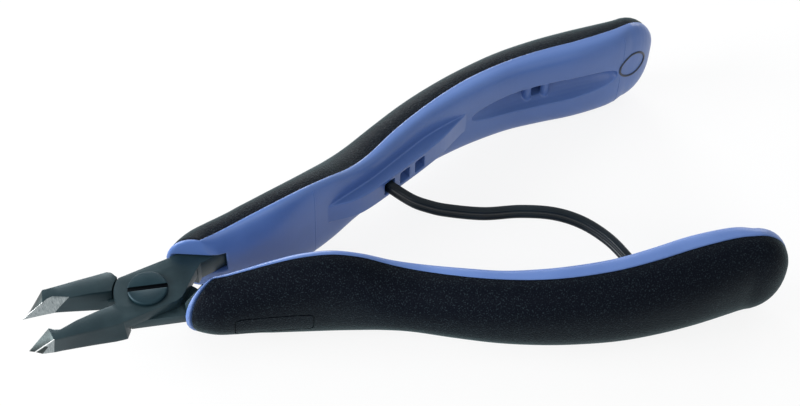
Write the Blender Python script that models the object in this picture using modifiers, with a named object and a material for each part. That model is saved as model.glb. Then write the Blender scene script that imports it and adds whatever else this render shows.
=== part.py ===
"""Flush cutter with a lap joint, two ergonomic handles and a moulded return spring.

The pliers lie flat and rest open. X runs from the jaws to the handle ends, Z along the pivot, and the
far handle is on the +Y side. The origin is the centre of the pivot screw's rear face.
"""
import math

import bmesh
import bpy
from mathutils import Matrix, Vector

MM = 0.001

# Joint
OPEN_HALF_ANGLE = math.radians(8.7)
LAP_THICKNESS = 2.4
LAP_CLEARANCE = 0.12
BOSS_RADIUS = 6.6
SHOULDER_CLEARANCE = 0.35

# Jaws, measured with the cutter closed
EDGE_CLEARANCE = 0.03
TIP_REACH = 24.5
NOSE_REACH = 20.1
NOSE_WIDTH = 3.05
TIP_WIDTH = 0.8
JAW_ROOT_WIDTH = 4.9
JAW_OUTER_EDGE = (
    (-7.0, -4.9), (-8.0, -4.82), (-9.2, -4.7), (-13.4, -4.1), (-17.6, -3.45), (-19.8, -3.11), (-19.95, -3.08),
)
FREE_OUTER_EDGE = (
    (-6.65, -5.35), (-7.5, -5.65), (-9.2, -5.3), (-13.4, -4.45), (-17.6, -3.55), (-19.8, -3.11), (-19.95, -3.08),
)
JAW_OUTER_FOOT = (
    (-6.9, -5.6), (-8.0, -5.42), (-9.2, -5.2), (-13.4, -4.1), (-18.6, -2.85), (-20.5, -2.45), (-22.6, -1.8),
)
FREE_SETBACK = 1.0
CLOSING_OFFSET = 0.5
RELIEF_DEPTH = 1.25
THROAT_CLEARANCE = 0.25

# Shanks inside the handles
TANG_LENGTH = 33.0
TANG_INNER = 2.0
TANG_TAPER = 0.8
TANG_OUTER = 5.7
TANG_CLEARANCE = 0.3

# Pivot screw
SCREW_SHANK_RADIUS = 2.2
SCREW_RUNNING_CLEARANCE = 0.05
SCREW_HEAD_RADIUS = 3.9
SCREW_HEAD_HEIGHT = 0.75
SCREW_HEAD_CLEARANCE = 0.12
SCREW_HEAD_CHAMFER = 0.2
SCREW_SLOT_WIDTH = 1.0
SCREW_SLOT_DEPTH = 0.6
SCREW_SLOT_ANGLE = math.radians(-9.5)

# Handle sections from the nose to the rear end, for the far handle at rest:
# place x and y of the parting line, half height, outward and inward depth, fullness of the inner
# side, and the least angle by which the outer side of the section leans forward
HANDLE_STATIONS = (
    (11.55, 4.83, 7.4, 6.83, 2.0, 2.2, 65.6),
    (13.9, 5.2, 7.5, 6.68, 2.1, 2.2, 36.0),
    (16.0, 5.5, 7.85, 6.45, 2.2, 2.2, 24.0),
    (19.0, 5.9, 8.45, 6.3, 2.35, 2.2, 14.0),
    (22.5, 6.42, 9.2, 6.4, 2.5, 2.35, 0.0),
    (28.5, 7.4, 10.2, 6.65, 2.5, 2.8, 0.0),
    (34.5, 8.8, 10.5, 6.85, 2.1, 3.4, 0.0),
    (40.0, 10.65, 9.6, 7.3, 1.8, 3.8, 0.0),
    (45.0, 12.85, 8.0, 7.7, 2.0, 4.0, 0.0),
    (50.0, 15.5, 7.35, 7.5, 2.5, 4.2, 0.0),
    (57.0, 19.65, 7.85, 6.85, 3.0, 4.5, 0.0),
    (64.0, 23.15, 8.3, 6.65, 3.1, 4.8, 0.0),
    (71.0, 25.95, 8.8, 6.4, 3.6, 5.0, 0.0),
    (78.0, 27.95, 9.35, 6.35, 3.9, 5.0, 0.0),
    (86.0, 29.25, 9.8, 6.85, 4.0, 5.0, 0.0),
    (94.0, 29.65, 10.2, 7.3, 4.3, 5.0, 0.0),
    (102.0, 29.55, 10.5, 7.6, 4.4, 5.0, 0.0),
    (110.0, 29.95, 10.75, 6.7, 4.2, 4.4, 0.0),
    (114.0, 30.65, 10.7, 5.8, 3.9, 3.2, 0.0),
)
INNER_DISH = 1.4
STEPS_BETWEEN_STATIONS = 2
REAR_CAP_LENGTH = 8.1
REAR_CAP_FULLNESS = 2.1
REAR_CAP_SHARES = ((0.3, 1.0), (0.55, 0.9), (0.74, 0.62), (0.76, 0.0), (0.89, 0.0), (0.97, 0.0), (1.0, 0.0))
OUTER_FULLNESS = 2.4
NOSE_FULLNESS = 2.0
SPINE_POINTS = 9
GRIP_POINTS = 13
INNER_POINTS = 11

# Walls of the handle
LIP_EDGE = -0.25
LIP_HEIGHT = 0.2
GRIP_THICKNESS = 1.75
GRIP_CLEARANCE = 0.28
RIM_START_SHARE = 0.34
RIM_END_SHARE = 0.42
GRIP_START_SHARE = 0.56
HOLLOW_STEP = 0.1
MOUTH_DEPTH = 16.7

# Spring seats in the handles
RIDGE_HALF_WIDTH = 2.6
RIDGE_CREST = ((37.0, 8.8), (41.0, 8.5), (44.5, 8.5), (48.0, 9.3), (53.6, 11.7), (65.7, 17.5), (72.0, 21.6), (81.5, 28.2))
RIDGE_ROOT = 1.2
SLOT_COUNT = 3
SLOT_PITCH = 4.4
SLOT_LENGTH = 2.75
SLOT_HALF_HEIGHT = 1.75
SLOT_DEPTH = 2.8
SLOT_START = (53.6, 11.7)
SLOT_SLOPE = math.atan2(5.8, 12.1)
RECESS_CENTRE_X = 93.2
RECESS_LENGTH = 33.0
RECESS_HALF_HEIGHT = 3.05
RECESS_DEPTH = 3.0
SCOOP_RAISE = 0.4
SCOOP_SHARES = (-0.985, -0.93, -0.8, -0.6, -0.35, 0.0, 0.35, 0.6, 0.8, 0.93, 0.985)
POST_RADIUS = 1.0
POST_SPACING = 4.2
POST_DEPTH = 1.3
POCKET_DEPTH = 4.8
POCKET_HALF_HEIGHT = 2.1

# Return spring
SPRING_THICKNESS = 1.6
SPRING_HALF_HEIGHT = 1.45
SPRING_GROOVE = 0.22
SPRING_CLEARANCE = 0.3
SPRING_BEAD_RADIUS = 1.3
SPRING_BEAD_DEPTH = 3.05
SPRING_BENDS = (
    (56.6, 6.9), (59.4, 4.2), (62.7, 2.0), (69.4, -1.1), (76.7, -2.9), (83.0, -5.6),
    (87.6, -9.6), (90.8, -15.0), (92.4, -20.5),
)

# Blank panel on the near grip
PANEL_CENTRE_X = 22.5
PANEL_LENGTH = 15.5
PANEL_HEIGHT = 5.6
PANEL_DEPTH = 0.45
PANEL_DROP = 1.6

MID_PLANE = LAP_THICKNESS
FAR = 1
NEAR = -1


def clear_scene():
    for item in list(bpy.data.objects):
        bpy.data.objects.remove(item, do_unlink=True)


def make_material(name, color, roughness, metallic):
    material = bpy.data.materials.new(name)
    material.use_nodes = True
    shader = material.node_tree.nodes["Principled BSDF"]
    shader.inputs["Base Color"].default_value = (*color, 1.0)
    shader.inputs["Roughness"].default_value = roughness
    shader.inputs["Metallic"].default_value = metallic
    material.diffuse_color = (*color, 1.0)
    return material


def make_object(name, mesh, collection=None):
    item = bpy.data.objects.new(name, mesh)
    (collection or bpy.context.scene.collection).objects.link(item)
    return item


def tool_collection():
    found = bpy.data.collections.get("tools")
    if found is None:
        found = bpy.data.collections.new("tools")
        bpy.context.scene.collection.children.link(found)
    return found


def make_tool(name, mesh):
    item = make_object(name, mesh, tool_collection())
    item.hide_render = True
    item.display_type = "WIRE"
    return item


def mesh_from(bm, name):
    bmesh.ops.recalc_face_normals(bm, faces=bm.faces[:])
    mesh = bpy.data.meshes.new(name)
    bm.to_mesh(mesh)
    bm.free()
    return mesh


def flat_mesh(name, points, bottom, top):
    """Extrude a flat outline, given in millimetres, from the bottom height to the top height."""
    curve = bpy.data.curves.new(name + "_outline", "CURVE")
    curve.dimensions = "2D"
    curve.fill_mode = "BOTH"
    curve.extrude = (top - bottom) / 2 * MM
    spline = curve.splines.new("POLY")
    spline.points.add(len(points) - 1)
    for point, (x, y) in zip(spline.points, points):
        point.co = (x * MM, y * MM, 0.0, 1.0)
    spline.use_cyclic_u = True
    holder = make_object(name + "_outline", curve)
    holder.location.z = (top + bottom) / 2 * MM
    bpy.context.view_layer.update()
    evaluated = holder.evaluated_get(bpy.context.evaluated_depsgraph_get())
    mesh = bpy.data.meshes.new_from_object(evaluated)
    mesh.transform(holder.matrix_world)
    bpy.data.objects.remove(holder, do_unlink=True)
    bm = bmesh.new()
    bm.from_mesh(mesh)
    bmesh.ops.remove_doubles(bm, verts=bm.verts[:], dist=1e-6)
    bpy.data.meshes.remove(mesh)
    return mesh_from(bm, name)


def loft_mesh(name, rings):
    """Skin a list of rings, given in millimetres, and close both ends."""
    bm = bmesh.new()
    rows = [[bm.verts.new(Vector(point) * MM) for point in ring] for ring in rings]
    for row, following in zip(rows, rows[1:]):
        for i in range(len(row)):
            j = (i + 1) % len(row)
            bm.faces.new((row[i], row[j], following[j], following[i]))
    bm.faces.new(rows[0][::-1])
    bm.faces.new(rows[-1])
    bmesh.ops.connect_verts_nonplanar(bm, angle_limit=math.radians(0.5), faces=bm.faces[:])
    return mesh_from(bm, name)


def cylinder_mesh(name, radius, bottom, top, centre=(0.0, 0.0), segments=48):
    bm = bmesh.new()
    bmesh.ops.create_cone(
        bm, cap_ends=True, segments=segments, radius1=radius * MM, radius2=radius * MM,
        depth=(top - bottom) * MM,
        matrix=Matrix.Translation(Vector((centre[0], centre[1], (top + bottom) / 2)) * MM),
    )
    return mesh_from(bm, name)


def box_mesh(name, size, centre, turn=0.0):
    bm = bmesh.new()
    placing = Matrix.Translation(Vector(centre) * MM) @ Matrix.Rotation(turn, 4, "Z")
    bmesh.ops.create_cube(bm, size=1.0, matrix=placing @ Matrix.Diagonal((*(Vector(size) * MM), 1.0)))
    return mesh_from(bm, name)


def combine(target, tool, operation):
    modifier = target.modifiers.new(tool.name, "BOOLEAN")
    modifier.object = tool
    modifier.operation = operation
    modifier.solver = "EXACT"


def cut(target, *tools):
    for tool in tools:
        combine(target, tool, "DIFFERENCE")


def join(target, *tools):
    for tool in tools:
        combine(target, tool, "UNION")


def finish(item, material, turn=0.0):
    """Keep the shape that the modifiers give, drop the tools and put the piece in its place."""
    bpy.context.view_layer.update()
    evaluated = item.evaluated_get(bpy.context.evaluated_depsgraph_get())
    shaped = bpy.data.meshes.new_from_object(evaluated)
    tools = [modifier.object for modifier in item.modifiers if modifier.type == "BOOLEAN"]
    item.modifiers.clear()
    item.data = shaped
    for tool in tools:
        bpy.data.objects.remove(tool, do_unlink=True)
    item.data.materials.clear()
    item.data.materials.append(material)
    item.data.shade_smooth()
    item.data.set_sharp_from_angle(angle=math.radians(30.0))
    item.location.z = MID_PLANE * MM
    item.rotation_euler.z = turn
    return item


def arc(radius, start, end, count):
    """Points on a circle about the pivot, with the angles in degrees."""
    points = []
    for i in range(count):
        angle = math.radians(start + (end - start) * i / (count - 1))
        points.append((radius * math.cos(angle), radius * math.sin(angle)))
    return points


def smooth_path(values, steps):
    """Catmull-Rom interpolation between rows of values."""
    rows = []
    for i in range(len(values) - 1):
        before = values[max(i - 1, 0)]
        start = values[i]
        end = values[i + 1]
        after = values[min(i + 2, len(values) - 1)]
        for step in range(steps):
            t = step / steps
            row = []
            for a, b, c, d in zip(before, start, end, after):
                row.append(
                    0.5 * (2 * b + (c - a) * t + (2 * a - 5 * b + 4 * c - d) * t ** 2
                           + (3 * b - a - 3 * c + d) * t ** 3)
                )
            rows.append(row)
    rows.append(list(values[-1]))
    return rows


# Forged halves

def jaw_mesh(name, side):
    """Loft the ground jaw from its bottom outline to its top outline."""
    inner = -EDGE_CLEARANCE
    throat = inner - THROAT_CLEARANCE
    shoulder = BOSS_RADIUS + SHOULDER_CLEARANCE
    # The upper side of the far jaw lies above its own lap, and is set back from the near boss
    if side == NEAR:
        top_root = -FREE_SETBACK
        top_angle = 188.5
        top_outer = FREE_OUTER_EDGE
    else:
        top_root = throat
        top_angle = 183.5
        top_outer = JAW_OUTER_EDGE
    top = [
        (-NOSE_REACH, inner), (-NOSE_REACH + 0.9, inner - 0.65 * RELIEF_DEPTH),
        (-NOSE_REACH + 1.9, inner - RELIEF_DEPTH), (-NOSE_REACH + 3.0, inner - 0.85 * RELIEF_DEPTH),
        (-14.8, inner - 0.48 * RELIEF_DEPTH), (-10.3, top_root), (-7.6, top_root),
        *arc(shoulder, top_angle, 216.0, 5), *top_outer, (-NOSE_REACH, -NOSE_WIDTH),
    ]
    bottom = [
        (-TIP_REACH, inner), (-TIP_REACH + 2.2, inner - 0.24 * RELIEF_DEPTH),
        (-TIP_REACH + 4.3, inner - 0.46 * RELIEF_DEPTH), (-TIP_REACH + 6.6, inner - 0.66 * RELIEF_DEPTH),
        (-14.8, inner - 0.48 * RELIEF_DEPTH), (-10.3, throat), (-7.6, throat),
        *arc(shoulder, 183.5, 216.0, 5), *JAW_OUTER_FOOT, (-TIP_REACH + 1.1, -TIP_WIDTH),
    ]
    rings = []
    for outline, height in ((bottom, -LAP_THICKNESS), (top, LAP_THICKNESS)):
        rings.append([(x, y + side * closing_line(x), height) for x, y in outline])
    return loft_mesh(name, rings)


def closing_line(x):
    """How far the line where the edges meet stands from the middle plane of the handles."""
    return CLOSING_OFFSET * max((-x - BOSS_RADIUS - 1.4) / (TIP_REACH - BOSS_RADIUS), 0.0)


def forging(name, material, side):
    """One forged half: ground jaw, lapped boss and the tang that the handle is moulded on."""
    turn = Matrix.Diagonal((1.0, side, side, 1.0))
    lap = [
        (-7.9, -EDGE_CLEARANCE - THROAT_CLEARANCE),
        *arc(BOSS_RADIUS, 181.5, 127.0, 14),
        (6.4, 5.35), (7.6, 5.2), (12.0, 3.6), (11.0, 0.95), (7.32, -2.46), (6.2, -3.6), (5.2, -4.45), (4.0, -4.85),
        (-7.9, -JAW_ROOT_WIDTH),
    ]
    tang = [
        (6.9, 5.5), (6.7, 4.4), (7.9, 3.1), (10.5, 0.35), (11.6, 1.35),
        (17.5, TANG_INNER), (TANG_LENGTH - 1.0, TANG_INNER + TANG_TAPER), (TANG_LENGTH, TANG_INNER + 1.5),
        (TANG_LENGTH, TANG_OUTER - 0.8), (TANG_LENGTH - 1.0, TANG_OUTER), (18.0, TANG_OUTER + 0.1),
    ]
    half = make_object(name, flat_mesh(name, lap, LAP_CLEARANCE / 2, LAP_THICKNESS))
    half.data.transform(turn)
    tools = (
        make_tool(name + "_jaw", jaw_mesh(name + "_jaw", side)),
        make_tool(name + "_tang", flat_mesh(name + "_tang", tang, -LAP_THICKNESS, LAP_THICKNESS)),
    )
    bore = make_tool(
        name + "_bore",
        cylinder_mesh(name + "_bore", SCREW_SHANK_RADIUS + SCREW_RUNNING_CLEARANCE,
                      -LAP_THICKNESS - 1, LAP_THICKNESS + 1),
    )
    tools[0].data.transform(Matrix.Diagonal((1.0, side, 1.0, 1.0)))
    if side == NEAR:
        tools[0].data.flip_normals()
    tools[1].data.transform(turn)
    join(half, *tools)
    cut(half, bore)
    return finish(half, material, OPEN_HALF_ANGLE * side)


def pivot_screw(material):
    """Turned screw with a slotted head that stands on the upper lap."""
    seat = LAP_THICKNESS + SCREW_HEAD_CLEARANCE
    top = seat + SCREW_HEAD_HEIGHT
    profile = (
        (0.0, top), (SCREW_HEAD_RADIUS - SCREW_HEAD_CHAMFER, top),
        (SCREW_HEAD_RADIUS, top - SCREW_HEAD_CHAMFER), (SCREW_HEAD_RADIUS, seat),
        (SCREW_SHANK_RADIUS, seat), (SCREW_SHANK_RADIUS, -LAP_THICKNESS), (0.0, -LAP_THICKNESS),
    )
    mesh = bpy.data.meshes.new("pivot_screw")
    edges = [(i, i + 1) for i in range(len(profile) - 1)]
    mesh.from_pydata([(x * MM, 0.0, z * MM) for x, z in profile], edges, [])
    screw = make_object("pivot_screw", mesh)
    turned = screw.modifiers.new("Turned", "SCREW")
    turned.steps = 56
    turned.render_steps = 56
    turned.use_merge_vertices = True
    turned.merge_threshold = 0.00001
    slot = make_tool(
        "pivot_screw_slot",
        box_mesh("pivot_screw_slot", (4 * SCREW_HEAD_RADIUS, SCREW_SLOT_WIDTH, 2 * SCREW_SLOT_DEPTH),
                 (0.0, 0.0, top), SCREW_SLOT_ANGLE),
    )
    cut(screw, slot)
    return finish(screw, material)


# Handles

def rounded(value, power):
    return math.copysign(abs(value) ** (2.0 / power), value)


def handle_frames():
    """Section frames along the handle: place, outward direction and the section's own sizes."""
    rows = smooth_path(HANDLE_STATIONS, STEPS_BETWEEN_STATIONS)
    frames = []
    leads = [station[6] for station in HANDLE_STATIONS]
    for i, (x, y, height, out, inn, fullness, lead) in enumerate(rows):
        x0, y0 = rows[max(i - 1, 0)][:2]
        x1, y1 = rows[min(i + 1, len(rows) - 1)][:2]
        tilt = max(math.atan2(y1 - y0, x1 - x0), math.radians(lead))
        front = max(lead, 0.0) / max(leads)
        frames.append({
            "x": x, "y": y, "height": height, "out": out, "inn": inn, "fullness": fullness,
            "outer": OUTER_FULLNESS - (OUTER_FULLNESS - NOSE_FULLNESS) * front,
            "tilt": tilt, "scale": 1.0, "spine": 1.0,
        })
    last = frames[-1]
    for share, spine in REAR_CAP_SHARES:
        cap = dict(last)
        cap["spine"] = spine
        cap["x"] += REAR_CAP_LENGTH * share * math.cos(last["tilt"])
        cap["y"] += REAR_CAP_LENGTH * share * math.sin(last["tilt"])
        cap["scale"] = max((1.0 - share ** REAR_CAP_FULLNESS) ** (1.0 / REAR_CAP_FULLNESS), 0.16)
        frames.append(cap)
    return frames


def shifted(frame, distance):
    """The same section, moved towards the rear end along its own normal."""
    moved = dict(frame)
    moved["x"] += distance * math.cos(frame["tilt"])
    moved["y"] += distance * math.sin(frame["tilt"])
    return moved


def between(frame, following, share, scale=1.0):
    """A section at a share of the way from one section to the next."""
    mixed = {key: value + share * (following[key] - value) for key, value in frame.items()}
    mixed["scale"] *= scale
    return mixed


def near_nose(frames, share, scale=1.0):
    return between(frames[0], frames[1], share, scale)


def place(frame, out, height, side):
    out *= frame["scale"]
    x = frame["x"] - math.sin(frame["tilt"]) * out
    y = frame["y"] + math.cos(frame["tilt"]) * out
    return (x, side * y, height * frame["scale"])


def dish_depth(frame):
    """How far the middle of the inner face is hollowed, which grows with the fullness of the section."""
    return INNER_DISH * (frame["fullness"] - HANDLE_STATIONS[0][5]) / HANDLE_STATIONS[0][5]


def inner_points(frame, side):
    """Inner half of a section, from the top of the parting line to its bottom."""
    dish = dish_depth(frame)
    points = []
    for i in range(INNER_POINTS):
        angle = math.pi * (0.5 + i / (INNER_POINTS - 1))
        out = frame["inn"] * rounded(math.cos(angle), frame["fullness"])
        height = frame["height"] * rounded(math.sin(angle), frame["fullness"])
        out += dish * math.cos(math.pi / 2 * height / frame["height"]) ** 2
        points.append(place(frame, out, height, side))
    return points


def outer_points(frame, side, start, reach, height, count):
    """Outer half of a section, from the bottom of the parting line to its top."""
    points = []
    for i in range(count):
        angle = math.pi * (i / (count - 1) - 0.5)
        out = start + reach * rounded(math.cos(angle), frame["outer"])
        points.append(place(frame, out, height * rounded(math.sin(angle), frame["outer"]), side))
    return points


def spine_reach(frame):
    """How far the spine stands out from the lip, inside the grip."""
    return max((frame["out"] - GRIP_THICKNESS - GRIP_CLEARANCE - LIP_EDGE) * frame["spine"], 0.12)


def spine_height(frame):
    return (frame["height"] - GRIP_THICKNESS - GRIP_CLEARANCE) * (0.6 + 0.4 * frame["spine"])


def core_ring(frame, side, stepped):
    """Core section: inner half, the lip beside the grip, and the spine that the grip covers."""
    if stepped:
        outer = outer_points(frame, side, LIP_EDGE, spine_reach(frame), spine_height(frame), SPINE_POINTS)
    else:
        outer = outer_points(frame, side, 0.2, frame["out"] - 0.2, frame["height"], SPINE_POINTS)
    edge = place(frame, LIP_EDGE, frame["height"], side)
    return [edge, *inner_points(frame, side)[1:-1], (edge[0], edge[1], -edge[2]), *outer]


def core_mesh(name, side):
    frames = handle_frames()
    rings = [
        core_ring(near_nose(frames, -0.22, 0.86), side, False),
        core_ring(near_nose(frames, -0.12, 0.95), side, False),
        core_ring(frames[0], side, False),
        core_ring(near_nose(frames, RIM_START_SHARE), side, False),
        core_ring(near_nose(frames, RIM_END_SHARE), side, True),
    ]
    rings += [core_ring(frame, side, True) for frame in frames[1:]]
    return loft_mesh(name, rings)


def socket_points():
    """Room for the tang in the core, open to the front and to the inner side of the mouth."""
    gap = TANG_CLEARANCE
    return [
        (0.0, -8.0), (MOUTH_DEPTH + 0.4, -8.0), (MOUTH_DEPTH + 0.4, TANG_INNER - gap),
        (TANG_LENGTH + gap, TANG_INNER - gap + TANG_TAPER), (TANG_LENGTH + gap, TANG_OUTER + gap),
        (18.0, TANG_OUTER + 0.1 + gap), (0.0, 5.35 + gap),
    ]


def along_crest(distance):
    return (
        SLOT_START[0] + distance * math.cos(SLOT_SLOPE),
        SLOT_START[1] + distance * math.sin(SLOT_SLOPE),
    )


def inner_face(x):
    """Distance of the inner face from the middle plane of the cutter at a place along the handle."""
    frames = handle_frames()
    for frame, following in zip(frames, frames[1:]):
        if frame["x"] <= x <= following["x"]:
            share = (x - frame["x"]) / (following["x"] - frame["x"])
            start = frame["y"] - frame["inn"] + dish_depth(frame)
            end = following["y"] - following["inn"] + dish_depth(following)
            return start + share * (end - start)
    return frames[-1]["y"]


def scoop_mesh(name, side):
    """Long hollow that follows the inner face and runs out at both ends."""
    rings = []
    for share in SCOOP_SHARES:
        x = RECESS_CENTRE_X + share * RECESS_LENGTH / 2
        swell = math.sqrt(1.0 - share ** 2)
        ring = []
        for i in range(16):
            angle = math.tau * i / 16
            depth = (RECESS_DEPTH + SCOOP_RAISE) * swell * math.cos(angle) - SCOOP_RAISE
            ring.append((x, side * (inner_face(x) + depth), RECESS_HALF_HEIGHT * swell * math.sin(angle)))
        rings.append(ring)
    return loft_mesh(name, rings)


def handle_core(name, material, side):
    core = make_object(name, core_mesh(name, side))
    socket = make_tool(
        name + "_socket",
        flat_mesh(name + "_socket", socket_points(), -LAP_THICKNESS - TANG_CLEARANCE, LAP_THICKNESS + TANG_CLEARANCE),
    )
    mirror = Matrix.Scale(side, 4, Vector((0.0, 1.0, 0.0)))
    socket.data.transform(mirror @ Matrix.Rotation(OPEN_HALF_ANGLE, 4, "Z"))
    if side == NEAR:
        socket.data.flip_normals()

    crest = [(x, side * y) for x, y in RIDGE_CREST]
    back = [(x, side * (max(y, inner_face(x)) + RIDGE_ROOT)) for x, y in reversed(RIDGE_CREST)]
    ridge = make_tool(name + "_ridge", flat_mesh(name + "_ridge", crest + back, -RIDGE_HALF_WIDTH, RIDGE_HALF_WIDTH))
    join(core, ridge)

    face = inner_face(RECESS_CENTRE_X)
    scoop = make_tool(name + "_scoop", scoop_mesh(name + "_scoop", side))
    pocket_length = POST_SPACING - 0.4
    pocket = make_tool(
        name + "_pocket",
        box_mesh(name + "_pocket", (pocket_length, POCKET_DEPTH, 2 * POCKET_HALF_HEIGHT),
                 (RECESS_CENTRE_X, side * (face + POCKET_DEPTH / 2), 0.0)),
    )
    posts = []
    for end in (-1, 1):
        label = name + ("_front_post" if end < 0 else "_rear_post")
        centre = (RECESS_CENTRE_X + end * POST_SPACING / 2, side * (face + POST_DEPTH))
        posts.append(make_tool(label, cylinder_mesh(label, POST_RADIUS, -3.4, 3.4, centre, 20)))
    slots = []
    for i in range(SLOT_COUNT):
        x, y = along_crest(i * SLOT_PITCH)
        label = f"{name}_slot_{i + 1}"
        slots.append(make_tool(label, box_mesh(
            label, (SLOT_LENGTH, 2 * SLOT_DEPTH, 2 * SLOT_HALF_HEIGHT), (x, side * y, 0.0), side * SLOT_SLOPE)))
    cut(core, scoop, pocket)
    join(core, *posts)
    cut(core, *slots, socket)
    return finish(core, material)


def grip_mesh(name, side):
    frames = handle_frames()
    start = LIP_EDGE + GRIP_CLEARANCE
    rings = []
    for frame in (near_nose(frames, GRIP_START_SHARE), *frames[1:]):
        reach = max(frame["out"] - start, 0.4)
        rings.append(outer_points(frame, side, start, reach, frame["height"] - LIP_HEIGHT, GRIP_POINTS))
    return loft_mesh(name, rings)


def grip_hollow_mesh(name, side):
    """Room for the spine of the core inside the grip."""
    frames = handle_frames()
    spined = [frame for frame in frames[1:] if frame["spine"] > 0.0]
    ahead = [near_nose(frames, 0.2), near_nose(frames, RIM_END_SHARE)]
    # A small step along the handle keeps these rings out of the planes of the grip's own rings
    stepped = [shifted(frame, HOLLOW_STEP) for frame in spined]
    rings = []
    for frame in (*ahead, *stepped, shifted(spined[-1], GRIP_CLEARANCE)):
        reach = spine_reach(frame) + GRIP_CLEARANCE
        rings.append(outer_points(frame, side, LIP_EDGE, reach, spine_height(frame) + GRIP_CLEARANCE, SPINE_POINTS))
    return loft_mesh(name, rings)


def soft_grip(name, material, side):
    grip = make_object(name, grip_mesh(name, side))
    if side == NEAR:
        frames = handle_frames()
        index = min(range(len(frames)), key=lambda i: abs(frames[i]["x"] - PANEL_CENTRE_X))
        before = frames[index - 1]
        frame = frames[index]
        after = frames[index + 2]
        slope = math.atan2(after["y"] + after["out"] - before["y"] - before["out"], after["x"] - before["x"])
        x, y, height = place(frame, frame["out"], 0.0, side)
        panel = make_tool(
            name + "_panel",
            box_mesh(name + "_panel", (PANEL_LENGTH, 2 * PANEL_DEPTH, PANEL_HEIGHT),
                     (x, y, height - PANEL_DROP), side * slope),
        )
        cut(grip, panel)
    cut(grip, make_tool(name + "_hollow", grip_hollow_mesh(name + "_hollow", side)))
    return finish(grip, material)


# Return spring

def spring_section():
    half = SPRING_THICKNESS / 2
    top = SPRING_HALF_HEIGHT
    quarter = (
        (half - SPRING_GROOVE, 0.3), (half, 0.55), (half, top - 0.3), (half - 0.3, top),
    )
    right = [(a, -z) for a, z in reversed(quarter)] + list(quarter)
    return right + [(-a, -z) for a, z in right]


def return_spring(material):
    """Moulded strip from the first slot of the far handle to the posts of the near handle."""
    across = Vector((math.sin(SLOT_SLOPE), -math.cos(SLOT_SLOPE)))
    mouth = Vector(SLOT_START)
    foot = mouth - across * (SLOT_DEPTH - SPRING_CLEARANCE)
    face = inner_face(RECESS_CENTRE_X)
    bead = Vector((RECESS_CENTRE_X, -(face + SPRING_BEAD_DEPTH)))
    points = [tuple(foot), tuple(mouth), *SPRING_BENDS, (RECESS_CENTRE_X, -face + 1.2), tuple(bead)]
    path = smooth_path(points, 3)
    section = spring_section()
    rings = []
    for i, (x, y) in enumerate(path):
        before = Vector(path[max(i - 1, 0)])
        after = Vector(path[min(i + 1, len(path) - 1)])
        along = (after - before).normalized()
        normal = Vector((-along.y, along.x))
        rings.append([(x + normal.x * a, y + normal.y * a, z) for a, z in section])
    spring = make_object("return_spring", loft_mesh("return_spring", rings))
    pin = make_tool(
        "return_spring_bead",
        cylinder_mesh("return_spring_bead", SPRING_BEAD_RADIUS, -SPRING_HALF_HEIGHT - 0.02,
                      SPRING_HALF_HEIGHT + 0.02, tuple(bead), 24),
    )
    foot_size = (SLOT_LENGTH - 2 * SPRING_CLEARANCE, 1.5, 2 * (SLOT_HALF_HEIGHT - SPRING_CLEARANCE) + 0.04)
    heel_centre = foot + across * 0.75
    heel = make_tool(
        "return_spring_heel",
        box_mesh("return_spring_heel", foot_size, (heel_centre.x, heel_centre.y, 0.0), SLOT_SLOPE),
    )
    join(spring, pin, heel)
    return finish(spring, material)


def main():
    clear_scene()
    steel = make_material("dark_steel", (0.045, 0.06, 0.068), 0.38, 1.0)
    screw_steel = make_material("screw_steel", (0.08, 0.1, 0.11), 0.35, 1.0)
    core_blue = make_material("core_blue", (0.13, 0.2, 0.47), 0.4, 0.0)
    grip_black = make_material("grip_black", (0.012, 0.015, 0.022), 0.75, 0.0)
    spring_dark = make_material("spring_dark", (0.03, 0.045, 0.055), 0.45, 0.0)
    forging("near_jaw_half", steel, FAR)
    forging("far_jaw_half", steel, NEAR)
    pivot_screw(screw_steel)
    handle_core("far_handle_core", core_blue, FAR)
    handle_core("near_handle_core", core_blue, NEAR)
    soft_grip("far_grip", grip_black, FAR)
    soft_grip("near_grip", grip_black, NEAR)
    return_spring(spring_dark)


main()
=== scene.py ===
import math

import bmesh
import bpy
from mathutils import Matrix, Vector
from mathutils.geometry import intersect_point_line


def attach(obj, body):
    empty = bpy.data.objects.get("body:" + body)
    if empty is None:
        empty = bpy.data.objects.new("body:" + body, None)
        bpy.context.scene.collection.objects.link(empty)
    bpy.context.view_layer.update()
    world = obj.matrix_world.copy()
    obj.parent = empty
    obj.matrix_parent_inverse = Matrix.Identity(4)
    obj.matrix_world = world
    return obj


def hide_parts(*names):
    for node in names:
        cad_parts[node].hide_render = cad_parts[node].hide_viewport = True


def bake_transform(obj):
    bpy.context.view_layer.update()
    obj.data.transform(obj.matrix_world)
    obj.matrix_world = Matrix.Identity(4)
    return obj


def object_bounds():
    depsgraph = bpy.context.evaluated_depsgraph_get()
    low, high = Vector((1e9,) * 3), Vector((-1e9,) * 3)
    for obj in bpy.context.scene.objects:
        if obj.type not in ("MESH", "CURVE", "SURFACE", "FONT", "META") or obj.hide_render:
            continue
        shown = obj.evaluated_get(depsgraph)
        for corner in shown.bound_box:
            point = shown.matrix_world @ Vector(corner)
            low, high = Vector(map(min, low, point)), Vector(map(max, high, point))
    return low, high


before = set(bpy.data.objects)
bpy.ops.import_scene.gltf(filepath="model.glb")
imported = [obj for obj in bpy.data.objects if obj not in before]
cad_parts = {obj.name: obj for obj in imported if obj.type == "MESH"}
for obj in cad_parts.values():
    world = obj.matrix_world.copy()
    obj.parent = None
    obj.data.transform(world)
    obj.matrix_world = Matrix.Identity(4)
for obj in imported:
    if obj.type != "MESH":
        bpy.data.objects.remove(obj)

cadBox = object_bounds()
mm = 0.001
midPlane = 2.4  # middle of the lap joint, in mm above the rear face of the screw
openAngle = math.radians(8.7)  # each half stands this far from the closed position
far, near = 1, -1
print("frame loaded")


# Camera, floor and light

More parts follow.
